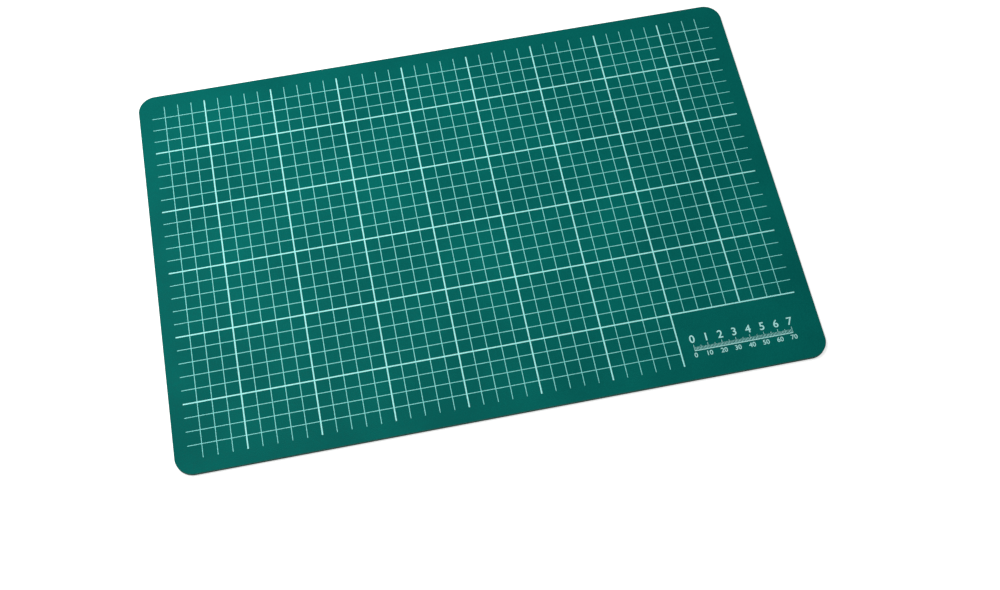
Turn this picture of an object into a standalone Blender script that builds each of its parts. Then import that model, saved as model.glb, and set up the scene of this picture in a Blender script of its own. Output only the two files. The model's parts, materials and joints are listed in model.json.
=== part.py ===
"""Craft cutting mat: five bonded PVC plies, with a centimetre grid printed on the top face.

Metres, +Z up. The origin is the middle of the underside. +X runs along the long side, to the right
of someone who works at the mat, and +Y runs away from them.
"""

import math

import bmesh
import bpy

# Outline of every ply
LENGTH = 0.450
WIDTH = 0.300
CORNER_RADIUS = 0.0128
CORNER_STEPS = 16
EDGE_EASE = 0.0002  # how far the cutting die rounds the two outer rims
EASE_STEPS = 2

# Plies, from the underside to the cutting face and back
FACE_PLY = 0.0006
INNER_PLY = 0.0005
CORE_PLY = 0.00072
BOND_LINE = 0.00002  # the heat bond between two plies

# Printed grid
CELL = 0.010
PRINT_MARGIN = 0.020  # least distance from the mat's edge to the outermost line
PRINT_SHIFT = -0.0009  # the print lies a little to the left of the mat's middle
OVERRUN = 0.0097  # each line runs on past the outermost line that it crosses
FINE_LINE = 0.0005
BOLD_LINE = 0.001
BOLD_EVERY = 5
INK = 0.00004  # thickness of one pass of ink
INK_SEAT = 0.00001  # clearance under each pass

# Unruled panel in the front right corner, in cells of the grid
PANEL_COLUMNS = 8
PANEL_ROWS = 3

TINY = 1e-6
SMOOTH_BELOW = math.radians(30)


def principled(name, hex_colour, roughness):
    """A plain material of the colour #RRGGBB, which is given in sRGB."""
    channels = [int(hex_colour[i : i + 2], 16) / 255 for i in (1, 3, 5)]
    linear = [c / 12.92 if c <= 0.04045 else ((c + 0.055) / 1.055) ** 2.4 for c in channels]
    material = bpy.data.materials.new(name)
    material.use_nodes = True
    shader = material.node_tree.nodes["Principled BSDF"]
    shader.inputs["Base Color"].default_value = (*linear, 1.0)
    shader.inputs["Roughness"].default_value = roughness
    shader.inputs["Metallic"].default_value = 0.0
    material.diffuse_color = (*linear, 1.0)
    return material


def add_object(name, bm, height, material, collection):
    """Puts a finished bmesh in the collection, with its own zero level at this height."""
    mesh = bpy.data.meshes.new(name)
    bm.to_mesh(mesh)
    bm.free()
    mesh.materials.append(material)
    part = bpy.data.objects.new(name, mesh)
    part.location.z = height
    collection.objects.link(part)
    return part


def ply(name, underside, thickness, eased_rim, material, collection):
    """One sheet with round corners. eased_rim is 1 for its upper rim, -1 for its lower one, 0 for none."""
    bm = bmesh.new()
    bmesh.ops.create_cube(bm, size=1.0)
    bmesh.ops.scale(bm, vec=(LENGTH, WIDTH, thickness), verts=bm.verts)
    upright = [e for e in bm.edges if abs(e.verts[0].co.z - e.verts[1].co.z) > thickness / 2]
    bmesh.ops.bevel(
        bm, geom=upright, offset=CORNER_RADIUS, segments=CORNER_STEPS, profile=0.5, affect="EDGES"
    )
    if eased_rim:
        rim = [e for e in bm.edges if all(v.co.z * eased_rim > thickness / 4 for v in e.verts)]
        bmesh.ops.bevel(bm, geom=rim, offset=EDGE_EASE, segments=EASE_STEPS, profile=0.5, affect="EDGES")
    sheet = add_object(name, bm, underside + thickness / 2, material, collection)
    sheet.data.shade_smooth()
    sheet.data.set_sharp_from_angle(angle=SMOOTH_BELOW)


def laminate(collection):
    """Stacks the five plies and returns the height of the cutting face."""
    green = principled("green_pvc", "#03675F", 0.55)
    inner = principled("inner_pvc", "#0A4F49", 0.6)
    core = principled("core_pvc", "#33413F", 0.6)
    plies = (
        ("bottom_sheet", FACE_PLY, -1, green),
        ("lower_inner_sheet", INNER_PLY, 0, inner),
        ("core_sheet", CORE_PLY, 0, core),
        ("upper_inner_sheet", INNER_PLY, 0, inner),
        ("top_sheet", FACE_PLY, 1, green),
    )
    underside = 0.0
    for name, thickness, eased_rim, material in plies:
        ply(name, underside, thickness, eased_rim, material, collection)
        underside += thickness + BOND_LINE
    return underside - BOND_LINE


class Grid:
    """Where the printed lines run. Columns count from the left and rows from the back."""

    def __init__(self):
        self.columns = int((LENGTH - 2 * PRINT_MARGIN) / CELL + TINY) + 1
        self.rows = int((WIDTH - 2 * PRINT_MARGIN) / CELL + TINY) + 1
        self.panel_column = self.columns - 1 - PANEL_COLUMNS
        self.panel_row = self.rows - 1 - PANEL_ROWS
        self.left = self.column_x(0) - OVERRUN
        self.right = self.column_x(self.columns - 1) + OVERRUN
        self.front = self.row_y(self.rows - 1) - OVERRUN
        self.back = self.row_y(0) + OVERRUN

    def column_x(self, column):
        return PRINT_SHIFT + (column - (self.columns - 1) / 2) * CELL

    def row_y(self, row):
        return ((self.rows - 1) / 2 - row) * CELL

    def column_strip(self, column, width):
        """A line that runs from the back to the front, or to the panel's border."""
        x = self.column_x(column)
        border = self.row_y(self.panel_row) - BOLD_LINE / 2
        front = border if column > self.panel_column else self.front
        return x - width / 2, x + width / 2, front, self.back

    def row_strip(self, row, width):
        """A line that runs from the left to the right, or to the panel's border."""
        y = self.row_y(row)
        border = self.column_x(self.panel_column) + BOLD_LINE / 2
        right = border if row > self.panel_row else self.right
        return self.left, right, y - width / 2, y + width / 2

    def bold_columns(self):
        """Every fifth column, counted from the panel's border."""
        return [c for c in range(self.columns) if (c - self.panel_column) % BOLD_EVERY == 0]

    def bold_rows(self):
        """Every fifth row, counted from the panel's border."""
        return [r for r in range(self.rows) if (r - self.panel_row) % BOLD_EVERY == 0]


def film(name, strips, underside, material, collection):
    """One pass of ink: the strips (left, right, front, back), joined where they cross."""
    xs = sorted({round(x, 9) for strip in strips for x in strip[:2]})
    ys = sorted({round(y, 9) for strip in strips for y in strip[2:]})
    bm = bmesh.new()
    bmesh.ops.create_grid(bm, x_segments=len(xs) - 1, y_segments=len(ys) - 1, size=1.0)
    for vert in bm.verts:
        vert.co.x = xs[round((vert.co.x + 1) / 2 * (len(xs) - 1))]
        vert.co.y = ys[round((vert.co.y + 1) / 2 * (len(ys) - 1))]

    def printed(face):
        middle = face.calc_center_median()
        return any(
            left < middle.x < right and front < middle.y < back for left, right, front, back in strips
        )

    bare = [face for face in bm.faces if not printed(face)]
    bmesh.ops.delete(bm, geom=bare, context="FACES")
    plain_cuts = [
        edge
        for edge in bm.edges
        if len(edge.link_faces) == 2 and all(len(vert.link_edges) == 3 for vert in edge.verts)
    ]
    bmesh.ops.dissolve_edges(bm, edges=plain_cuts, use_verts=True)
    ink = add_object(name, bm, underside, material, collection)
    body = ink.modifiers.new("thickness", "SOLIDIFY")
    body.thickness = INK
    body.offset = 1.0


def printed_grid(cutting_face, collection):
    """Three passes of white ink. A fine line under the first bold one ties each fine pass together."""
    grid = Grid()
    bold_columns = grid.bold_columns()
    bold_rows = grid.bold_rows()
    fine_columns = [c for c in range(grid.columns) if c not in bold_columns]
    fine_rows = [r for r in range(grid.rows) if r not in bold_rows]

    passes = (
        ("fine_lines_lengthwise", FINE_LINE, bold_columns[:1], fine_rows),
        ("fine_lines_crosswise", FINE_LINE, fine_columns, bold_rows[:1]),
        ("bold_lines", BOLD_LINE, bold_columns, bold_rows),
    )
    white_ink = principled("white_ink", "#C8EBE4", 0.5)
    underside = cutting_face + INK_SEAT
    for name, width, columns, rows in passes:
        strips = [grid.column_strip(c, width) for c in columns] + [grid.row_strip(r, width) for r in rows]
        film(name, strips, underside, white_ink, collection)
        underside += INK + INK_SEAT


def main():
    for leftover in list(bpy.data.objects):
        bpy.data.objects.remove(leftover, do_unlink=True)
    collection = bpy.data.collections.new("craft_cutting_mat")
    bpy.context.scene.collection.children.link(collection)
    cutting_face = laminate(collection)
    printed_grid(cutting_face, collection)


main()
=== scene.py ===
"""Looks of the craft cutting mat: bonded PVC plies with a centimetre grid printed on the top face.

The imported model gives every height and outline. Each ply and each pass of ink is made again here as
a finer surface in the same place, and gets the finish of the real thing.
"""

import json
import logging
import math
from abc import ABC, abstractmethod
from collections.abc import Sequence
from dataclasses import dataclass, replace
from enum import Enum
from functools import cache
from typing import Any, Protocol

import bmesh
import bpy
import numpy as np
from mathutils import Matrix, Vector

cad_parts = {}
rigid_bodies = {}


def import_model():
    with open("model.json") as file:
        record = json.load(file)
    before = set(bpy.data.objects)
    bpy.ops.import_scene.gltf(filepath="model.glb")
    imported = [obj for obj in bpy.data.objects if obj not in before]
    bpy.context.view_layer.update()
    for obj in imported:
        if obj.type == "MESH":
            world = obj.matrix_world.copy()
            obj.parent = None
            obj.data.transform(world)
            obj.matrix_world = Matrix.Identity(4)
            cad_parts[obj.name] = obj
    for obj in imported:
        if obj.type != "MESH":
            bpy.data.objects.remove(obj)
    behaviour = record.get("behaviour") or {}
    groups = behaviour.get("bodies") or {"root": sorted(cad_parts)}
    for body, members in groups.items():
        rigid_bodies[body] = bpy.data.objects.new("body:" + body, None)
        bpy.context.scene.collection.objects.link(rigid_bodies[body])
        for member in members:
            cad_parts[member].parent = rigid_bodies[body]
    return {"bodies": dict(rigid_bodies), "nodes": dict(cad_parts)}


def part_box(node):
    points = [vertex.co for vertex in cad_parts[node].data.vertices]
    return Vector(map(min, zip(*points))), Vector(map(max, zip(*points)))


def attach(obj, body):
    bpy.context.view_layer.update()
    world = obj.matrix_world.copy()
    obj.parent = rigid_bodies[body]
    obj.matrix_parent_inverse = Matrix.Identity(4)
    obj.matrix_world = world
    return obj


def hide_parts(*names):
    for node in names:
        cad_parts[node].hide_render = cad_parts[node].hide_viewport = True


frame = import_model()

log = logging.getLogger("craft_cutting_mat")

MM = 0.001
TOUCHING = 0.001 * MM  # two places this close are one
(BODY,) = frame["bodies"]  # the plies are bonded, so the mat is one body

Inputs = dict[str | int, Any]
Colour = tuple[float, float, float, float]
Rows = tuple[tuple[float, ...], ...]
Socket = bpy.types.NodeSocket


class Slot(Enum):
    """The material slots of the record."""

    GREEN = "green_pvc"
    INNER = "inner_pvc"
    CORE = "core_pvc"
    INK = "white_ink"


class Direction(Enum):
    """The two ways in which the lines of the grid run."""

    LENGTHWISE = "lengthwise"
    CROSSWISE = "crosswise"


def linear(hex_colour: str) -> Colour:
    """Turns an sRGB colour into the linear one that shaders take.

    Args:
        hex_colour: The colour as #RRGGBB.

    Returns:
        Linear red, green and blue, and an alpha of 1.
    """
    channels = [int(hex_colour[i : i + 2], 16) / 255 for i in (1, 3, 5)]
    red, green, blue = (c / 12.92 if c <= 0.04045 else ((c + 0.055) / 1.055) ** 2.4 for c in channels)
    return red, green, blue, 1.0


def per_metre(feature: float) -> float:
    """The texture scale at which the features of a pattern are this many metres across."""
    return 1.0 / feature


def add_node(
    tree: bpy.types.NodeTree, kind: str, inputs: Inputs | None = None, **settings: Any
) -> bpy.types.Node:
    """Adds a node with its settings, values and links.

    A Mix node has several inputs of one name, so those go by number: 0 is the share, 2 and 3 are the
    two numbers, 6 and 7 are the two colours.

    Args:
        tree: The node tree that gets it.
        kind: The type name of the node.
        inputs: A value, or the output of another node, for each input by name or number.
        **settings: The options of the node itself.

    Returns:
        The new node.
    """
    node = tree.nodes.new(kind)
    for name, value in settings.items():
        setattr(node, name, value)
    for name, value in (inputs or {}).items():
        if isinstance(value, Socket):
            tree.links.new(value, node.inputs[name])
        else:
            node.inputs[name].default_value = value
    return node


def new_material(name: str) -> tuple[bpy.types.Material, bpy.types.NodeTree]:
    """Makes a material with an empty node tree.

    Args:
        name: The name of the material.

    Returns:
        The material and its tree.
    """
    material = bpy.data.materials.new(name)
    material.use_nodes = True
    material.node_tree.nodes.clear()
    return material, material.node_tree


def seen_directly(tree: bpy.types.NodeTree) -> Socket:
    """Adds the test for rays that see a surface: from the camera, a reflection or a glass.

    Args:
        tree: The node tree that gets it.

    Returns:
        An output that is 1 for such rays and 0 for the rest.
    """
    path = add_node(tree, "ShaderNodeLightPath")
    direct = add_node(
        tree,
        "ShaderNodeMath",
        {0: path.outputs["Is Camera Ray"], 1: path.outputs["Is Glossy Ray"]},
        operation="MAXIMUM",
    )
    any_of = add_node(
        tree,
        "ShaderNodeMath",
        {0: direct.outputs[0], 1: path.outputs["Is Transmission Ray"]},
        operation="MAXIMUM",
    )
    return any_of.outputs[0]


class Finish(Protocol):
    """What every finish can do."""

    def build(self) -> bpy.types.Material:
        """Makes the material."""
        ...


@cache
def material_of(finish: Finish) -> bpy.types.Material:
    """The material of a finish, which is built once and shared by all pieces that have it."""
    return finish.build()


@dataclass(frozen=True)
class Emboss:
    """The fine pebble that matt press plates leave in soft PVC.

    Attributes:
        pebble: Width of one pebble. The real one is about 0.3 mm, too fine to show.
        height: Height of its crest over the hollows round it, drawn as much too high as it is wide.
        blend: How softly one pebble runs into the next, from 0 to 1.
        crest: Distance from the middle of a pebble where its crest begins to fall, in pebbles.
        hollow: Distance from its middle where it reaches the hollow.
    """

    pebble: float = 0.8 * MM
    height: float = 0.09 * MM
    blend: float = 0.6
    crest: float = 0.05
    hollow: float = 0.6

    def crests(self, tree: bpy.types.NodeTree, place: Socket) -> Socket:
        """Adds the pebble: rounded cells, high in the middle and low where they meet.

        Args:
            tree: The node tree that gets it.
            place: The coordinates of the surface.

        Returns:
            An output that is 1 on the crests and 0 in the hollows.
        """
        cells = add_node(
            tree,
            "ShaderNodeTexVoronoi",
            {"Vector": place, "Scale": per_metre(self.pebble), "Smoothness": self.blend},
            feature="SMOOTH_F1",
        )
        crests = add_node(
            tree,
            "ShaderNodeMapRange",
            {
                "Value": cells.outputs["Distance"],
                "From Min": self.crest,
                "From Max": self.hollow,
                "To Min": 1.0,
                "To Max": 0.0,
            },
            interpolation_type="SMOOTHSTEP",
        )
        return crests.outputs[0]

    def normal(self, tree: bpy.types.NodeTree, crests: Socket) -> Socket:
        """Adds the relief of the pebble.

        Args:
            tree: The node tree that gets it.
            crests: The output that is 1 on the crests and 0 in the hollows.

        Returns:
            The normal that the relief gives the surface.
        """
        relief = {"Strength": 1.0, "Distance": self.height, "Height": crests}
        return add_node(tree, "ShaderNodeBump", relief).outputs["Normal"]


@dataclass(frozen=True)
class Gloss:
    """How a plastic reflects light. Its roughness follows a pattern.

    Attributes:
        roughness: Middle of the roughness.
        spread: How far the pattern takes it up and down from there.
        specular: Level of the gloss, of which a matt surface has hardly any.
        smooth_at: The value of the pattern where the surface is smoothest.
        rough_at: The value where it is roughest.
        ior: Index of refraction, which is that of PVC if nothing else is said.
    """

    roughness: float
    spread: float
    specular: float
    smooth_at: float = 0.0
    rough_at: float = 1.0
    ior: float = 1.53


@dataclass(frozen=True)
class Plastic(ABC):
    """A plastic or an ink, whose colour lies between two tones as a pattern of its own gives it.

    Attributes:
        name: The name of the material.
        low_tone: Its colour where the pattern is low, as #RRGGBB.
        high_tone: Its colour where the pattern is high.
        tone_range: The values of the pattern that give the two tones.
        gloss: How it reflects light.
    """

    name: str
    low_tone: str
    high_tone: str
    tone_range: tuple[float, float]
    gloss: Gloss

    @abstractmethod
    def patterns(self, tree: bpy.types.NodeTree, place: Socket) -> tuple[Socket, Socket, Socket]:
        """Adds the patterns of the surface.

        Args:
            tree: The node tree that gets them.
            place: The coordinates of the surface.

        Returns:
            The pattern of its colour, that of its roughness, and its normal.
        """

    def build(self) -> bpy.types.Material:
        """Makes the material from its patterns.

        Returns:
            The new material.
        """
        material, tree = new_material(self.name)
        place = add_node(tree, "ShaderNodeTexCoord").outputs["Object"]
        tint, grain, normal = self.patterns(tree, place)
        low, high = self.tone_range
        share = add_node(tree, "ShaderNodeMapRange", {"Value": tint, "From Min": low, "From Max": high})
        colour = add_node(
            tree,
            "ShaderNodeMix",
            {0: share.outputs[0], 6: linear(self.low_tone), 7: linear(self.high_tone)},
            data_type="RGBA",
        )
        roughness = add_node(
            tree,
            "ShaderNodeMapRange",
            {
                "Value": grain,
                "From Min": self.gloss.smooth_at,
                "From Max": self.gloss.rough_at,
                "To Min": self.gloss.roughness - self.gloss.spread,
                "To Max": self.gloss.roughness + self.gloss.spread,
            },
        )
        shader = add_node(
            tree,
            "ShaderNodeBsdfPrincipled",
            {
                "Base Color": colour.outputs[2],
                "Roughness": roughness.outputs[0],
                "Normal": normal,
                "IOR": self.gloss.ior,
                "Specular IOR Level": self.gloss.specular,
            },
        )
        add_node(tree, "ShaderNodeOutputMaterial", {"Surface": shader.outputs["BSDF"]})
        return material


@dataclass(frozen=True)
class PressedPvc(Plastic):
    """Soft PVC sheet, calendered, then pressed hot between matt plates.

    The plates leave a fine pebble that scatters the light, so the eye sees a deep, even green with
    hardly any gloss. Its colour is painted palest on the crests and darker in the hollows, as painted
    shade of the pebble. Its colour drifts a little over a hand's width, as pigment does in a roll.

    Attributes:
        emboss: The pebble.
        drift: Distance over which the pigment drifts.
        mottle: Width of the fine patches in the pigment.
        patch_and_shade_share: How much of the colour's change comes from the patches and painted shade.
        pebble_shade_share: How much of that share is the pebble's painted shade, darker in its hollows.
    """

    tone_range: tuple[float, float] = (0.35, 0.65)
    gloss: Gloss = Gloss(0.56, 0.06, 0.02, smooth_at=0.3, rough_at=0.7)
    emboss: Emboss = Emboss()
    drift: float = 70 * MM
    mottle: float = 2 * MM
    # The pebble's part of the colour is painted shade: darker in its hollows, paler on its crests.
    patch_and_shade_share: float = 0.35
    pebble_shade_share: float = 0.5

    def patterns(self, tree: bpy.types.NodeTree, place: Socket) -> tuple[Socket, Socket, Socket]:
        """Adds the pigment's drift, its patches and the pebble, which is painted darker in its hollows
        as shade.

        Args:
            tree: The node tree that gets them.
            place: The coordinates of the surface.

        Returns:
            The mix of all three, in which the pebble is painted shade, the patches alone, and the
            normal of the pebble.
        """
        crests = self.emboss.crests(tree, place)
        drift = add_node(
            tree,
            "ShaderNodeTexNoise",
            {"Vector": place, "Scale": per_metre(self.drift), "Detail": 3.0, "Roughness": 0.5},
        )
        mottle = add_node(
            tree,
            "ShaderNodeTexNoise",
            {"Vector": place, "Scale": per_metre(self.mottle), "Detail": 3.0, "Roughness": 0.6},
        )
        patches = mottle.outputs["Fac"]
        # The crests go into the colour as painted shade: darker in the hollows, paler on the crests.
        grain = add_node(
            tree, "ShaderNodeMix", {0: self.pebble_shade_share, 2: patches, 3: crests}, data_type="FLOAT"
        )
        tint = add_node(
            tree,
            "ShaderNodeMix",
            {0: self.patch_and_shade_share, 2: drift.outputs["Fac"], 3: grain.outputs[0]},
            data_type="FLOAT",
        )
        return tint.outputs[0], patches, self.emboss.normal(tree, crests)


@dataclass(frozen=True)
class DieCutPvc(Plastic):
    """The cut edge of a PVC ply, sheared by a steel-rule die.

    The die drags faint upright striations down the wall, which look a shade paler and duller than
    the pressed face.

    Attributes:
        striation: Width of one striation. The real one is about 0.1 mm, too fine to show.
        striation_length: Its length, which is more than the mat's thickness.
        striation_depth: Its depth.
    """

    tone_range: tuple[float, float] = (0.35, 0.7)
    gloss: Gloss = Gloss(0.66, 0.08, 0.12)
    striation: float = 0.7 * MM
    striation_length: float = 9 * MM
    striation_depth: float = 0.012 * MM

    def patterns(self, tree: bpy.types.NodeTree, place: Socket) -> tuple[Socket, Socket, Socket]:
        """Adds the striations: a noise that is stretched along Z, so that its streaks stand upright.

        Args:
            tree: The node tree that gets them.
            place: The coordinates of the surface.

        Returns:
            The striations, once for the colour and once for the roughness, and their normal.
        """
        stretched = add_node(
            tree,
            "ShaderNodeMapping",
            {"Vector": place, "Scale": (1.0, 1.0, self.striation / self.striation_length)},
        )
        noise = add_node(
            tree,
            "ShaderNodeTexNoise",
            {
                "Vector": stretched.outputs["Vector"],
                "Scale": per_metre(self.striation),
                "Detail": 3.0,
                "Roughness": 0.65,
            },
        )
        streaks = noise.outputs["Fac"]
        relief = {"Strength": 1.0, "Distance": self.striation_depth, "Height": streaks}
        return streaks, streaks, add_node(tree, "ShaderNodeBump", relief).outputs["Normal"]


@dataclass(frozen=True)
class ScreenInk(Plastic):
    """Vinyl screen ink, mint white, squeegeed through a mesh and baked dry.

    It lies thinner on the crests of the pebble than in its hollows, so its cover is slightly uneven
    and a little green shines through.

    Attributes:
        emboss: The pebble that shows through the ink.
        patch: Width of the patches in its cover.
        crest_share: How much of the change in its cover comes from the pebble.
    """

    tone_range: tuple[float, float] = (0.3, 0.7)
    gloss: Gloss = Gloss(0.5, 0.08, 0.2, smooth_at=1.0, rough_at=0.0, ior=1.5)
    emboss: Emboss = Emboss()
    patch: float = 1.6 * MM
    crest_share: float = 0.3

    def patterns(self, tree: bpy.types.NodeTree, place: Socket) -> tuple[Socket, Socket, Socket]:
        """Adds the unevenness of the ink, which is thinner on the crests and in patches.

        Args:
            tree: The node tree that gets them.
            place: The coordinates of the surface.

        Returns:
            How thin the ink is, the patches alone, and the normal of the pebble.
        """
        crests = self.emboss.crests(tree, place)
        noise = add_node(
            tree,
            "ShaderNodeTexNoise",
            {"Vector": place, "Scale": per_metre(self.patch), "Detail": 2.0, "Roughness": 0.6},
        )
        patches = noise.outputs["Fac"]
        thinness = add_node(
            tree, "ShaderNodeMix", {0: self.crest_share, 2: patches, 3: crests}, data_type="FLOAT"
        )
        return thinness.outputs[0], patches, self.emboss.normal(tree, crests)


@dataclass(frozen=True)
class PaleFloor:
    """Pale studio paper, which takes the mat's shadow and shows as white to the camera.

    Away from the mat, where the lamp fades, the paper turns evenly into the white surroundings.

    Attributes:
        name: The name of the material.
        colour: Colour of the paper.
        near_lift: How much the camera sees the paper lifted next to the mat.
        far_lift: How much it sees it lifted far away.
        near: Where the lift begins to grow.
        far: Where it stops growing.
    """

    name: str = "pale_studio_paper"
    colour: str = "#E6E6E4"
    near_lift: float = 0.66
    far_lift: float = 0.98
    near: float = 0.35
    far: float = 1.1

    def build(self) -> bpy.types.Material:
        """Makes the material: plain diffuse paper, with a lift that only what looks at it sees.

        Returns:
            The new material.
        """
        material, tree = new_material(self.name)
        place = add_node(tree, "ShaderNodeTexCoord").outputs["Object"]
        reach = add_node(tree, "ShaderNodeVectorMath", {0: place}, operation="LENGTH")
        lift = add_node(
            tree,
            "ShaderNodeMapRange",
            {
                "Value": reach.outputs["Value"],
                "From Min": self.near,
                "From Max": self.far,
                "To Min": self.near_lift,
                "To Max": self.far_lift,
            },
        )
        glow = add_node(
            tree, "ShaderNodeMath", {0: seen_directly(tree), 1: lift.outputs[0]}, operation="MULTIPLY"
        )
        paper = add_node(tree, "ShaderNodeBsdfDiffuse", {"Color": linear(self.colour)})
        light = add_node(tree, "ShaderNodeEmission", {"Strength": glow.outputs[0]})
        both = add_node(tree, "ShaderNodeAddShader", {0: paper.outputs[0], 1: light.outputs[0]})
        add_node(tree, "ShaderNodeOutputMaterial", {"Surface": both.outputs[0]})
        return material


@dataclass(frozen=True)
class Surface:
    """A surface as whole arrays.

    Attributes:
        points: The vertices, one row each, in metres.
        corners: The vertex numbers of all faces in turn, seen anticlockwise from outside.
        sizes: How many corners each face has.
    """

    points: np.ndarray
    corners: np.ndarray
    sizes: np.ndarray

    def mesh(self, name: str) -> bpy.types.Mesh:
        """Puts the surface into a new mesh. The corners of a face follow those of the face before it.

        Args:
            name: The name of the mesh.

        Returns:
            The mesh.
        """
        mesh = bpy.data.meshes.new(name)
        mesh.vertices.add(len(self.points))
        mesh.loops.add(len(self.corners))
        mesh.polygons.add(len(self.sizes))
        mesh.vertices.foreach_set("co", self.points.ravel())
        mesh.loops.foreach_set("vertex_index", self.corners)
        mesh.polygons.foreach_set("loop_start", np.cumsum(self.sizes) - self.sizes)
        mesh.update(calc_edges=True)
        return mesh


def read_surface(mesh: bpy.types.Mesh) -> Surface:
    """Reads a mesh into whole arrays.

    Args:
        mesh: The mesh.

    Returns:
        Its surface.
    """
    points = np.empty(3 * len(mesh.vertices), dtype=np.float32)
    corners = np.empty(len(mesh.loops), dtype=np.int32)
    sizes = np.empty(len(mesh.polygons), dtype=np.int32)
    mesh.vertices.foreach_get("co", points)
    mesh.loops.foreach_get("vertex_index", corners)
    mesh.polygons.foreach_get("loop_total", sizes)
    return Surface(points.reshape(-1, 3), corners, sizes)


def read_corner_radius(node: str) -> float:
    """Reads the radius of a ply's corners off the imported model.

    It is how far the ply's right side lies beyond the straight part of its back.

    Args:
        node: The node of the ply.

    Returns:
        The radius.
    """
    points = read_surface(frame["nodes"][node].data).points
    right, back = points[:, :2].max(axis=0)
    straight = points[points[:, 1] > back - TOUCHING]
    return float(right - straight[:, 0].max())


def joined(parts: Sequence[Surface]) -> Surface:
    """Several surfaces as one. Each one's vertex numbers go up by the points that come before it.

    Args:
        parts: The surfaces.

    Returns:
        All of them in one.
    """
    before = np.cumsum([0] + [len(part.points) for part in parts])
    return Surface(
        np.concatenate([part.points for part in parts]),
        np.concatenate([part.corners + start for part, start in zip(parts, before)]),
        np.concatenate([part.sizes for part in parts]),
    )


def capped_tube(rings: int, around: int) -> tuple[np.ndarray, np.ndarray]:
    """Faces that join a grid of points into a closed tube: a cap, the wall's quads and a cap.

    Point (r, a) has the number r * around + a. Each quad joins two neighbours of one ring to the same
    two of the next, and the last point of a ring meets its first.

    Args:
        rings: How many rings there are.
        around: How many points each ring has.

    Returns:
        The vertex numbers of all faces in turn, and how many each face has.
    """
    ring, place = np.meshgrid(np.arange(rings - 1), np.arange(around), indexing="ij")
    beside = (place + 1) % around
    low, high = ring * around, (ring + 1) * around
    wall = np.stack([low + place, low + beside, high + beside, high + place], axis=-1)
    first_cap = np.arange(around)[::-1]
    last_cap = np.arange(around) + (rings - 1) * around
    sizes = np.full((rings - 1) * around + 2, 4)
    sizes[[0, -1]] = around
    return np.concatenate([first_cap, wall.ravel(), last_cap]), sizes


def add_piece(
    name: str,
    surface: Surface,
    finishes: Sequence[Finish],
    finish_of_face: np.ndarray | None = None,
    smooth: np.ndarray | bool = True,
) -> bpy.types.Object:
    """Puts a computed surface into a new object, which stays at the origin.

    Args:
        name: The name of the piece.
        surface: Its surface.
        finishes: The finishes of the piece.
        finish_of_face: Which of the finishes each face has. None gives them all the first.
        smooth: Whether each face is shaded smooth.

    Returns:
        The new object.
    """
    mesh = surface.mesh(name)
    for finish in finishes:
        mesh.materials.append(material_of(finish))
    if finish_of_face is not None:
        mesh.polygons.foreach_set("material_index", finish_of_face)
    mesh.polygons.foreach_set("use_smooth", np.full(len(mesh.polygons), smooth))
    mesh.update()
    piece = bpy.data.objects.new(name, mesh)
    bpy.context.scene.collection.objects.link(piece)
    return piece


def settle(piece: bpy.types.Object, slot: Slot, *nodes: str) -> bpy.types.Object:
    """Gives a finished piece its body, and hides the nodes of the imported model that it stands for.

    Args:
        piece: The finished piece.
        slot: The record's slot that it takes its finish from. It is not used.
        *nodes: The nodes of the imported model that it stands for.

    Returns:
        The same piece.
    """
    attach(piece, BODY)
    if nodes:
        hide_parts(*nodes)
    return piece


# The pebble of the inner faces melts almost flat when the plies are bonded
MELTED = Emboss(height=0.01 * MM)


@dataclass(frozen=True)
class Ply:
    """One sheet of the laminate.

    Attributes:
        node: The node that it stands for.
        slot: The record's slot of its finish.
        face: Finish of its two faces.
        cut: Finish of its cut edge.
        lower_ease: How far its lower rim is rounded.
        upper_ease: How far its upper rim is rounded.
        setback: How far its wall shrinks back behind the outer plies.
    """

    node: str
    slot: Slot
    face: PressedPvc
    cut: DieCutPvc
    lower_ease: float
    upper_ease: float
    setback: float = 0.0


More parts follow.
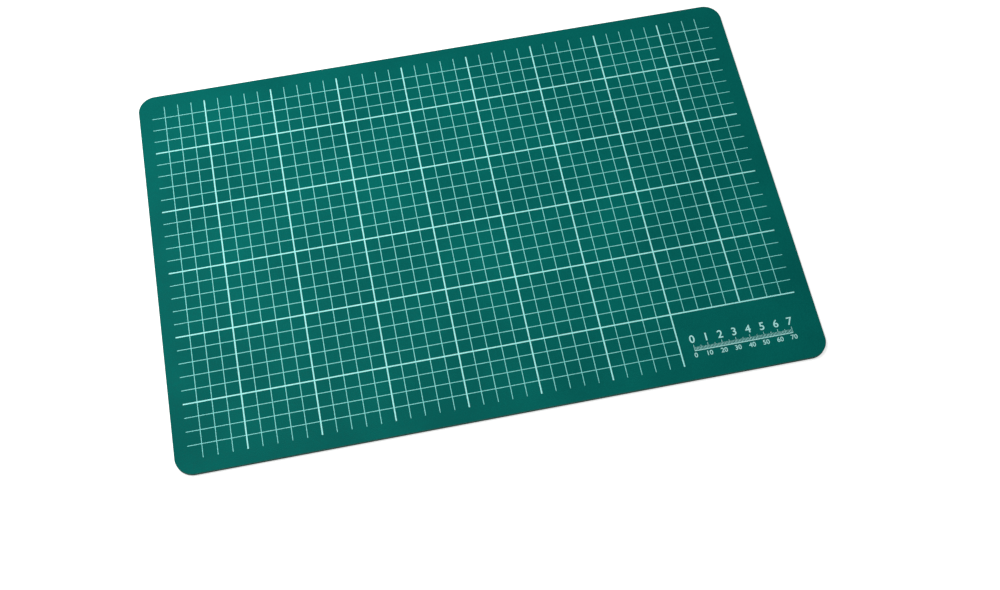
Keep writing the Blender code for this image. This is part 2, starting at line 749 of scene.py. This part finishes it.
@dataclass
class Laminate:
    """The five plies, which are hot-bonded into one sheet and die-cut with round corners.

    Attributes:
        corner_radius: Radius of the four corners.
        corner_steps: Facets of each corner.
        outer_ease: Rounding of the two rims that a hand meets.
        bond_ease: Rounding at the bond lines, which shows them as fine grooves.
        ease_steps: Facets of each rounding.
        support: Width of the flat ring that keeps the roundings crisp.
        inner_setback: How far the cut inner plies shrink back.
        core_setback: How far the cut core shrinks back.
        top_face: Finish of the top sheet.
        underside: Finish of the bottom sheet.
        inner_face: Finish of the inner plies, where they are bonded.
        core_face: Finish of the core, where it is bonded.
        green_cut: Finish of the outer sheets' edge.
        inner_cut: Finish of the inner plies' edge.
        core_cut: Finish of the core's edge.
    """

    corner_radius: float
    corner_steps: int = 28
    outer_ease: float = 0.2 * MM
    bond_ease: float = 0.035 * MM
    ease_steps: int = 4
    support: float = 0.35 * MM
    inner_setback: float = 0.02 * MM
    core_setback: float = 0.04 * MM
    top_face: PressedPvc = PressedPvc("embossed_green_pvc", "#025F59", "#036D65")
    underside: PressedPvc = PressedPvc("embossed_underside_pvc", "#025F59", "#036D65")
    inner_face: PressedPvc = PressedPvc("bonded_inner_pvc", "#0A4F49", "#0D554F", emboss=MELTED)
    core_face: PressedPvc = PressedPvc("bonded_core_pvc", "#33413F", "#384644", emboss=MELTED)
    green_cut: DieCutPvc = DieCutPvc("die_cut_green_pvc", "#05594F", "#1B6F64")
    inner_cut: DieCutPvc = DieCutPvc("die_cut_inner_pvc", "#0A4A44", "#1D5C55")
    core_cut: DieCutPvc = DieCutPvc("die_cut_core_pvc", "#2E3B39", "#4A5755")

    def plies(self) -> list[Ply]:
        """Describes the five plies. The two inner ones are alike.

        Returns:
            The plies, from the underside up.
        """
        outer, bond = self.outer_ease, self.bond_ease
        inner = Slot.INNER, self.inner_face, self.inner_cut, bond, bond, self.inner_setback
        core = Slot.CORE, self.core_face, self.core_cut, bond, bond, self.core_setback
        return [
            Ply("bottom_sheet", Slot.GREEN, self.underside, self.green_cut, outer, bond),
            Ply("lower_inner_sheet", *inner),
            Ply("core_sheet", *core),
            Ply("upper_inner_sheet", *inner),
            Ply("top_sheet", Slot.GREEN, self.top_face, self.green_cut, bond, outer),
        ]

    def profile(self, ply: Ply, low: float, high: float) -> np.ndarray:
        """Inset and height of each ring, from the middle of the lower face round to the upper one.

        Each rim is a quarter circle of its ease e: the inset is e (1 - sin a) and the height is
        e (1 - cos a) from the face, as a goes from 0 to a quarter turn.

        Args:
            ply: The ply.
            low: Height of its lower face.
            high: Height of its upper face.

        Returns:
            One row of inset and height for each ring.
        """
        turn = np.linspace(0.0, math.pi / 2, self.ease_steps + 1)
        inset, rise = 1 - np.sin(turn), 1 - np.cos(turn)
        lower = np.stack([ply.lower_ease * inset, low + ply.lower_ease * rise], axis=1)
        upper = np.stack([ply.upper_ease * inset, high - ply.upper_ease * rise], axis=1)[::-1]
        first = [[ply.lower_ease + self.support, low]]
        last = [[ply.upper_ease + self.support, high]]
        return np.concatenate([first, lower, upper, last]) + [ply.setback, 0.0]

    def outline(self, profile: np.ndarray, half_length: float, half_width: float) -> np.ndarray:
        """Points of the sheet, one ring for each row of the profile.

        The centre of a corner lies one radius in from both sides. A point at the angle t lies at that
        centre plus (radius - inset) times (cos t, sin t). Four quarter turns make a closed ring.

        Args:
            profile: Inset and height of each ring.
            half_length: Half the length of the mat.
            half_width: Half the width of the mat.

        Returns:
            Points as rings x places x 3.
        """
        quarter = np.linspace(0.0, math.pi / 2, self.corner_steps + 1)
        angle = (np.arange(4)[:, None] * (math.pi / 2) + quarter[None, :]).ravel()
        signs = np.array([[1, 1], [-1, 1], [-1, -1], [1, -1]])
        centres = signs * (np.array([half_length, half_width]) - self.corner_radius)
        centres = np.repeat(centres, self.corner_steps + 1, axis=0)
        reach = (self.corner_radius - profile[:, 0])[:, None, None]
        plan = centres[None] + reach * np.stack([np.cos(angle), np.sin(angle)], axis=1)[None]
        height = np.broadcast_to(profile[:, 1][:, None, None], (*plan.shape[:2], 1))
        return np.concatenate([plan, height], axis=2)

    def build_ply(self, ply: Ply) -> bpy.types.Object:
        """Builds one ply in the box of its node and gives it its finishes.

        The outermost rings lie in the pressed faces, and all between them is cut.

        Args:
            ply: The ply.

        Returns:
            The new piece.
        """
        low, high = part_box(ply.node)
        points = self.outline(self.profile(ply, low.z, high.z), high.x, high.y)
        rings, around = points.shape[:2]
        corners, sizes = capped_tube(rings, around)
        ring = np.repeat(np.arange(rings - 1), around)
        cut = np.concatenate([[False], (ring > 0) & (ring < rings - 2), [False]])
        smooth = sizes == 4
        return add_piece(
            f"{ply.node}_skin",
            Surface(points.reshape(-1, 3), corners, sizes),
            (ply.face, ply.cut),
            cut.astype(np.int32),
            smooth,
        )

    def build(self) -> list[bpy.types.Object]:
        """Builds the five plies.

        Returns:
            The new pieces.
        """
        return [settle(self.build_ply(ply), ply.slot, ply.node) for ply in self.plies()]


@dataclass(frozen=True)
class PrintedLine:
    """The low dome of ink that the screen leaves along each line of one pass.

    Attributes:
        width: Width of the line.
        thickness: Height of the ink over the face.
        station: Distance between two sections.
        waver: Share by which the width wanders.
        seat: How far the ink reaches into the pebble under it.
        dome: Its section as rows: distance from the middle in half widths, height in thicknesses.
        tip: Its round end as rows: distance from the tip in widths, and width and height as shares.
        seed: Start of the random numbers of the waver.
    """

    width: float
    thickness: float
    station: float = 6.0 * MM
    waver: float = 0.04
    seat: float = 0.006 * MM
    dome: Rows = ((1.0, 0.0), (0.84, 0.72), (0.5, 1.0), (-0.5, 1.0), (-0.84, 0.72), (-1.0, 0.0))
    tip: Rows = ((0.0, 0.72, 0.55), (0.12, 0.93, 1.0), (0.4, 1.0, 1.0))
    seed: int = 11

    def sweep(self, starts: np.ndarray, ends: np.ndarray, face: float) -> Surface:
        """Carries the section along every line at once.

        The half width at each station is half the line's width, times the share of the round end, times
        one plus a small random waver. The height over the face is the ink's, times the end's share.

        Args:
            starts: Where each line starts, one row of x and y each.
            ends: Where each line ends.
            face: Height of the face under the ink.

        Returns:
            The surface of all the lines.
        """
        length = np.linalg.norm(ends - starts, axis=1)[:, None]
        spans = max(2, math.ceil(float(length.max()) / self.station))
        reach, narrowing, lowering = np.array(self.tip).T
        reach = reach * self.width
        middle = reach[-1] + (length - 2 * reach[-1]) * np.linspace(0, 1, spans + 1)[None, 1:-1]
        first = np.broadcast_to(reach, (len(length), len(reach)))
        along = np.concatenate([first, middle, length - reach[::-1]], axis=1)
        full = np.ones(spans - 1)
        narrowing = np.concatenate([narrowing, full, narrowing[::-1]])
        lowering = np.concatenate([lowering, full, lowering[::-1]])
        noise = np.random.default_rng(self.seed).uniform(-1, 1, along.shape)
        half = self.width / 2 * narrowing * (1 + self.waver * noise)

        offset, rise = np.array(self.dome).T
        direction = (ends - starts) / length
        across = np.stack([-direction[:, 1], direction[:, 0]], axis=1)
        centre = starts[:, None] + along[..., None] * direction[:, None]
        plan = centre[:, :, None] + (half[..., None] * offset)[..., None] * across[:, None, None]
        crown = rise * self.thickness + self.seat * (rise > 0)
        height = face - self.seat + crown * lowering[None, :, None]
        height = np.broadcast_to(height, plan.shape[:3])
        points = np.concatenate([plan, height[..., None]], axis=3).reshape(-1, 3)

        corners, sizes = capped_tube(along.shape[1], len(offset))
        before = np.arange(len(length)) * along.shape[1] * len(offset)
        return Surface(points, (corners + before[:, None]).ravel(), np.tile(sizes, len(length)))


@dataclass
class PrintedGrid:
    """The centimetre grid, which is screen-printed in three passes.

    Columns count from the left and rows from the back. The lines stop at the border of the unruled
    panel in the front right corner.

    Attributes:
        low: Front left end of the print.
        high: Back right end of the print.
        face: Height of the face under the ink.
        cell: Distance between two lines.
        overrun: How far each line runs on past the outermost line that it crosses.
        bold_every: How many cells lie between two bold lines.
        panel_columns: Length of the panel in cells.
        panel_rows: Width of the panel in cells.
        fine: Section of the fine lines.
        bold: Section of the bold lines.
        crosswise_share: Thickness of the crosswise lines as a share of the others'.
        fine_ink: Ink of the fine lines.
        bold_ink: Ink of the bold lines, which lies thicker and whiter.
    """

    low: Vector
    high: Vector
    face: float
    cell: float = 10 * MM
    overrun: float = 9.7 * MM
    bold_every: int = 5
    panel_columns: int = 8
    panel_rows: int = 3
    fine: PrintedLine = PrintedLine(0.5 * MM, 0.028 * MM)
    bold: PrintedLine = PrintedLine(1.0 * MM, 0.036 * MM, seed=12)
    crosswise_share: float = 0.93
    fine_ink: ScreenInk = ScreenInk("screen_ink_fine_lines", "#90ECE7", "#78DAD4")
    bold_ink: ScreenInk = ScreenInk("screen_ink_bold_lines", "#AEFAF5", "#96EFEA")

    def count(self, reach: float) -> int:
        """How many lines lie side by side in a reach that has an overrun at both its ends."""
        return round((reach - 2 * self.overrun) / self.cell) + 1

    @property
    def columns(self) -> int:
        """How many lines run crosswise, from the back to the front."""
        return self.count(self.high.x - self.low.x)

    @property
    def rows(self) -> int:
        """How many lines run lengthwise, from the left to the right."""
        return self.count(self.high.y - self.low.y)

    @property
    def panel_column(self) -> int:
        """The column that borders the panel."""
        return self.columns - 1 - self.panel_columns

    @property
    def panel_row(self) -> int:
        """The row that borders the panel."""
        return self.rows - 1 - self.panel_rows

    def column_x(self, column: np.ndarray | int) -> np.ndarray | float:
        """Where a crosswise line lies."""
        return self.low.x + self.overrun + column * self.cell

    def row_y(self, row: np.ndarray | int) -> np.ndarray | float:
        """Where a lengthwise line lies."""
        return self.high.y - self.overrun - row * self.cell

    def panel_corner(self) -> Vector:
        """The back left corner of the panel, on the face under the ink."""
        return Vector((self.column_x(self.panel_column), self.row_y(self.panel_row), self.face))

    def picked(self, count: int, border: int, bold: bool) -> np.ndarray:
        """The numbers of the bold or the fine lines, which are counted from the panel's border.

        Args:
            count: How many lines run that way.
            border: The one that borders the panel.
            bold: Whether the bold ones are wanted.

        Returns:
            The numbers of the lines.
        """
        number = np.arange(count)
        return number[((number - border) % self.bold_every == 0) == bold]

    def crosswise_lines(self, bold: bool) -> tuple[np.ndarray, np.ndarray]:
        """Front and back end of each fine or bold line that runs from the front to the back.

        Args:
            bold: Whether the bold ones are wanted.

        Returns:
            The front ends and the back ends, one row of x and y each.
        """
        column = self.picked(self.columns, self.panel_column, bold)
        x = self.column_x(column)
        front = np.where(column > self.panel_column, self.row_y(self.panel_row), self.low.y)
        back = np.full(len(x), self.high.y)
        return np.stack([x, front], axis=1), np.stack([x, back], axis=1)

    def lengthwise_lines(self, bold: bool) -> tuple[np.ndarray, np.ndarray]:
        """Left and right end of each fine or bold line that runs from the left to the right.

        Args:
            bold: Whether the bold ones are wanted.

        Returns:
            The left ends and the right ends, one row of x and y each.
        """
        row = self.picked(self.rows, self.panel_row, bold)
        y = self.row_y(row)
        right = np.where(row > self.panel_row, self.column_x(self.panel_column), self.high.x)
        left = np.full(len(y), self.low.x)
        return np.stack([left, y], axis=1), np.stack([right, y], axis=1)

    def lines(self, way: Direction, bold: bool) -> Surface:
        """The fine or bold lines that run one way.

        The crosswise lines lie a hair lower than the others, so that no two faces share a plane where
        they cross.

        Args:
            way: Which way they run.
            bold: Whether the bold ones are wanted.

        Returns:
            The surface of the lines.
        """
        line = self.bold if bold else self.fine
        if way is Direction.LENGTHWISE:
            return line.sweep(*self.lengthwise_lines(bold), self.face)
        lower = replace(line, thickness=line.thickness * self.crosswise_share)
        return lower.sweep(*self.crosswise_lines(bold), self.face)

    def build_pass(self, node: str, ways: Sequence[Direction], bold: bool) -> bpy.types.Object:
        """Builds one pass of ink.

        Args:
            node: The node that it stands for.
            ways: Which ways its lines run.
            bold: Whether they are the bold ones.

        Returns:
            The new piece.
        """
        surface = joined([self.lines(way, bold) for way in ways])
        ink = self.bold_ink if bold else self.fine_ink
        return settle(add_piece(f"{node}_ink", surface, [ink]), Slot.INK, node)

    def build(self) -> list[bpy.types.Object]:
        """Builds the three passes.

        Returns:
            The new pieces.
        """
        return [
            self.build_pass("fine_lines_lengthwise", [Direction.LENGTHWISE], bold=False),
            self.build_pass("fine_lines_crosswise", [Direction.CROSSWISE], bold=False),
            self.build_pass("bold_lines", list(Direction), bold=True),
        ]


@dataclass
class PanelScale:
    """A plain ruler scale in the unruled panel: centimetres over the ticks, millimetres under them.

    Attributes:
        corner: Back left corner of the panel, on the face under the ink.
        inset: How far its zero lies from the panel's left border.
        drop: How far its base line lies from the panel's back border.
        centimetres: How long it is.
        short_tick: Length of the tick of one millimetre.
        middle_tick: Length of the tick of five.
        long_tick: Length of the tick of ten.
        numeral_height: Height of the centimetre numerals.
        numeral_rise: How high their foot lies over the base line.
        small_height: Height of the millimetre numerals.
        small_drop: How far their foot lies under the base line.
        curve_steps: Facets of each curved piece of a numeral.
        boldness: How far the outlines of the numerals are moved out, in ems.
        mitre: How far the sharpest corner is moved, in multiples of that.
        merge: Distance under which two points of a numeral are one, in ems.
        tick: Section of the ticks.
        base: Section of the base line.
        ink: Its ink.
    """

    corner: Vector
    inset: float = 10 * MM
    drop: float = 29.6 * MM
    centimetres: int = 7
    short_tick: float = 2.6 * MM
    middle_tick: float = 3.6 * MM
    long_tick: float = 4.6 * MM
    numeral_height: float = 5.8 * MM
    numeral_rise: float = 6.0 * MM
    small_height: float = 3.5 * MM
    small_drop: float = 4.9 * MM
    curve_steps: int = 4
    boldness: float = 0.012
    mitre: float = 1.5
    merge: float = 0.01
    tick: PrintedLine = PrintedLine(0.32 * MM, 0.03 * MM, station=2 * MM)
    base: PrintedLine = PrintedLine(0.6 * MM, 0.033 * MM)
    ink: ScreenInk = ScreenInk("screen_ink_numerals", "#B8F4F0", "#A4EAE5")

    @property
    def left(self) -> float:
        """Where its zero lies."""
        return self.corner.x + self.inset

    @property
    def baseline(self) -> float:
        """Where its base line lies."""
        return self.corner.y - self.drop

    def ticks(self) -> bpy.types.Object:
        """Builds the base line and the ticks: one each millimetre, longer at 5 and 10.

        Returns:
            The new piece.
        """
        count = np.arange(10 * self.centimetres + 1)
        other = np.where(count % 5 == 0, self.middle_tick, self.short_tick)
        rise = np.where(count % 10 == 0, self.long_tick, other)
        x = self.left + count * MM
        foot = np.full(len(x), self.baseline)
        feet, heads = np.stack([x, foot], axis=1), np.stack([x, foot + rise], axis=1)
        ticks = self.tick.sweep(feet, heads, self.corner.z)
        reach = self.tick.width / 2
        start = np.array([[x[0] - reach, self.baseline]])
        end = np.array([[x[-1] + reach, self.baseline]])
        base = self.base.sweep(start, end, self.corner.z)
        return add_piece("panel_scale_ticks", joined([ticks, base]), [self.ink])

    def filled_text(self, text: str) -> Surface:
        """Fills a text as a flat curve and makes it a closed mesh, one em high and thick.

        Its doubles are merged, and edges of the fill are turned where they would leave a sliver.

        Args:
            text: What it says.

        Returns:
            Its surface, in ems.
        """
        curve = bpy.data.curves.new("numeral", "FONT")
        curve.body, curve.extrude, curve.resolution_u = text, 0.5, self.curve_steps
        holder = bpy.data.objects.new("numeral", curve)
        bpy.context.scene.collection.objects.link(holder)
        bpy.context.view_layer.update()
        shape = bmesh.new()
        shape.from_mesh(holder.to_mesh())
        bpy.data.objects.remove(holder)
        bpy.data.curves.remove(curve)
        bmesh.ops.remove_doubles(shape, verts=shape.verts, dist=self.merge)
        fill = [side for side in shape.faces if len(side.verts) == 3]
        within = [edge for edge in shape.edges if all(len(s.verts) == 3 for s in edge.link_faces)]
        bmesh.ops.beautify_fill(shape, faces=fill, edges=within)
        bmesh.ops.recalc_face_normals(shape, faces=shape.faces)
        mesh = bpy.data.meshes.new("numeral")
        shape.to_mesh(mesh)
        shape.free()
        surface = read_surface(mesh)
        bpy.data.meshes.remove(mesh)
        return surface

    def bolder(self, shape: Surface) -> Surface:
        """Moves the outline of a filled text out, and the rims of its holes in.

        Each point lies between two upright walls. It moves along the sum s of their normals, by 2 / |s|
        times the boldness, which takes both walls out by the boldness. The mitre limits that, so that
        a sharp corner doesn't pass the next one.

        Args:
            shape: The filled text, in ems.

        Returns:
            The text with bolder strokes.
        """
        starts = np.cumsum(shape.sizes) - shape.sizes
        walls = shape.corners[starts[shape.sizes == 4][:, None] + np.arange(4)]
        a, b, c, d = shape.points[walls].astype(float).transpose(1, 0, 2)
        normals = np.cross(c - a, d - b)
        normals /= np.linalg.norm(normals, axis=1)[:, None]
        sums = np.zeros(shape.points.shape)
        np.add.at(sums, walls, normals[:, None])
        lengths = np.linalg.norm(sums, axis=1)[:, None]
        moves = self.boldness * np.minimum(2 / lengths, self.mitre) * sums / lengths
        return replace(shape, points=shape.points + moves)

    def numeral(self, text: str, middle: float, foot: float, height: float) -> Surface:
        """One numeral in its place, as thick as the ink.

        It is scaled to its height, with its middle at the given x and its foot at the given y.

        Args:
            text: What it says.
            middle: Where its middle lies.
            foot: Where its foot lies.
            height: Its height.

        Returns:
            Its surface.
        """
        shape = self.bolder(self.filled_text(text))
        x, y, z = shape.points.T
        scale = height / (y.max() - y.min())
        across = middle + (x - (x.min() + x.max()) / 2) * scale
        along = foot + (y - y.min()) * scale
        level = self.corner.z + np.where(z > 0, self.tick.thickness, -self.tick.seat)
        return replace(shape, points=np.stack([across, along, level], axis=1))

    def numerals(self, name: str, step: int, foot: float, height: float) -> bpy.types.Object:
        """Builds a row of numerals, one for each centimetre.

        Args:
            name: The name of the piece.
            step: How much each numeral is more than the one before.
            foot: Where their foot lies.
            height: Their height.

        Returns:
            The new piece.
        """
        row = [
            self.numeral(str(place * step), self.left + place * 10 * MM, foot, height)
            for place in range(self.centimetres + 1)
        ]
        return add_piece(name, joined(row), [self.ink], smooth=False)

    def build(self) -> list[bpy.types.Object]:
        """Builds the ticks and both rows of numerals.

        Returns:
            The new pieces.
        """
        over, under = self.baseline + self.numeral_rise, self.baseline - self.small_drop
        pieces = [
            self.ticks(),
            self.numerals("panel_centimetre_numerals", 1, over, self.numeral_height),
            self.numerals("panel_millimetre_numerals", 10, under, self.small_height),
        ]
        return [settle(piece, Slot.INK) for piece in pieces]


@dataclass
class Studio:
    """Pale floor, soft light and the camera at the angle of the photograph.

    Attributes:
        aim: Where the camera's axis meets the top face.
        distance: How far the camera stands from there.
        azimuth: Its place round the mat in degrees, 0 in front of it.
        elevation: Its height over the mat in degrees.
        roll: How far its right side is tilted up, in degrees.
        lens: Its focal length in mm.
        sensor: Width of its sensor in mm.
        clip: Nearest and farthest distance that it sees.
        key: Where the soft lamp hangs.
        key_power: Its power in watts.
        key_size: Its size.
        ambient: Strength of the even light from all round.
        floor: Finish of the floor.
        floor_size: Length of each side of the floor.
        floor_gap: How far the floor lies under the mat.
    """

    aim: tuple[float, float, float] = (0.01066, -0.06183, 0.003)
    distance: float = 0.9390
    azimuth: float = -11.441
    elevation: float = 65.257
    roll: float = 0.149
    lens: float = 48.19
    sensor: float = 36.0
    clip: tuple[float, float] = (0.05, 50.0)
    key: tuple[float, float, float] = (-0.262, 0.152, 0.70)
    key_power: float = 5.2
    key_size: float = 0.45
    ambient: float = 0.22
    floor: PaleFloor = PaleFloor()
    floor_size: float = 12.0
    floor_gap: float = 0.05 * MM

    def place_camera(self) -> None:
        """Places the camera: the angles give its axes, and the roll turns two of them."""
        turn, rise = math.radians(self.azimuth), math.radians(self.elevation)
        back = Vector(
            (math.sin(turn) * math.cos(rise), -math.cos(turn) * math.cos(rise), math.sin(rise))
        )
        level = Vector((0, 0, 1)).cross(back).normalized()
        upright = back.cross(level)
        tilt = math.radians(self.roll)
        right = level * math.cos(tilt) + upright * math.sin(tilt)
        up = upright * math.cos(tilt) - level * math.sin(tilt)
        lens = bpy.data.cameras.new("camera")
        lens.lens, lens.sensor_width = self.lens, self.sensor
        lens.clip_start, lens.clip_end = self.clip
        camera = bpy.data.objects.new("camera", lens)
        place = Matrix((right, up, back)).transposed().to_4x4()
        place.translation = Vector(self.aim) + back * self.distance
        camera.matrix_world = place
        bpy.context.scene.collection.objects.link(camera)
        bpy.context.scene.camera = camera

    def hang_lamp(self) -> None:
        """Hangs the soft lamp over the back left of the mat, and turns it to the mat."""
        light = bpy.data.lights.new("key_softbox", "AREA")
        light.shape, light.size, light.energy = "SQUARE", self.key_size, self.key_power
        lamp = bpy.data.objects.new("key_softbox", light)
        lamp.location = self.key
        lamp.rotation_euler = Vector(self.key).to_track_quat("Z", "Y").to_euler()
        bpy.context.scene.collection.objects.link(lamp)

    def light_surroundings(self) -> None:
        """Makes the world: even soft light, which shows as plain white."""
        world = bpy.data.worlds.new("pale_studio")
        world.use_nodes = True
        tree = world.node_tree
        tree.nodes.clear()
        strength = add_node(
            tree, "ShaderNodeMix", {0: seen_directly(tree), 2: self.ambient, 3: 1.0}, data_type="FLOAT"
        )
        light = add_node(
            tree,
            "ShaderNodeBackground",
            {"Color": linear("#FFFFFF"), "Strength": strength.outputs[0]},
        )
        add_node(tree, "ShaderNodeOutputWorld", {"Surface": light.outputs[0]})
        bpy.context.scene.world = world

    def lay_floor(self) -> None:
        """Lays the floor a hair under the mat."""
        corners = self.floor_size / 2 * np.array([[-1, -1], [1, -1], [1, 1], [-1, 1]])
        points = np.column_stack([corners, np.full(4, -self.floor_gap)])
        sheet = Surface(points, np.arange(4), np.array([4]))
        add_piece("studio_floor", sheet, [self.floor], smooth=False)

    def build(self) -> None:
        """Builds the studio."""
        self.place_camera()
        self.hang_lamp()
        self.light_surroundings()
        self.lay_floor()
        bpy.context.scene.view_settings.view_transform = "Standard"


def main() -> None:
    """Builds the mat, reports each of its pieces, and builds the studio."""
    logging.basicConfig(level=logging.INFO, format="%(message)s")
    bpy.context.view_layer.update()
    laminate = Laminate(read_corner_radius("top_sheet"))
    grid = PrintedGrid(*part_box("bold_lines"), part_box("top_sheet")[1].z)
    for part in (laminate, grid, PanelScale(grid.panel_corner())):
        for piece in part.build():
            log.info("%s: %d faces", piece.name, len(piece.data.polygons))
    Studio().build()


if __name__ == "__main__":
    main()
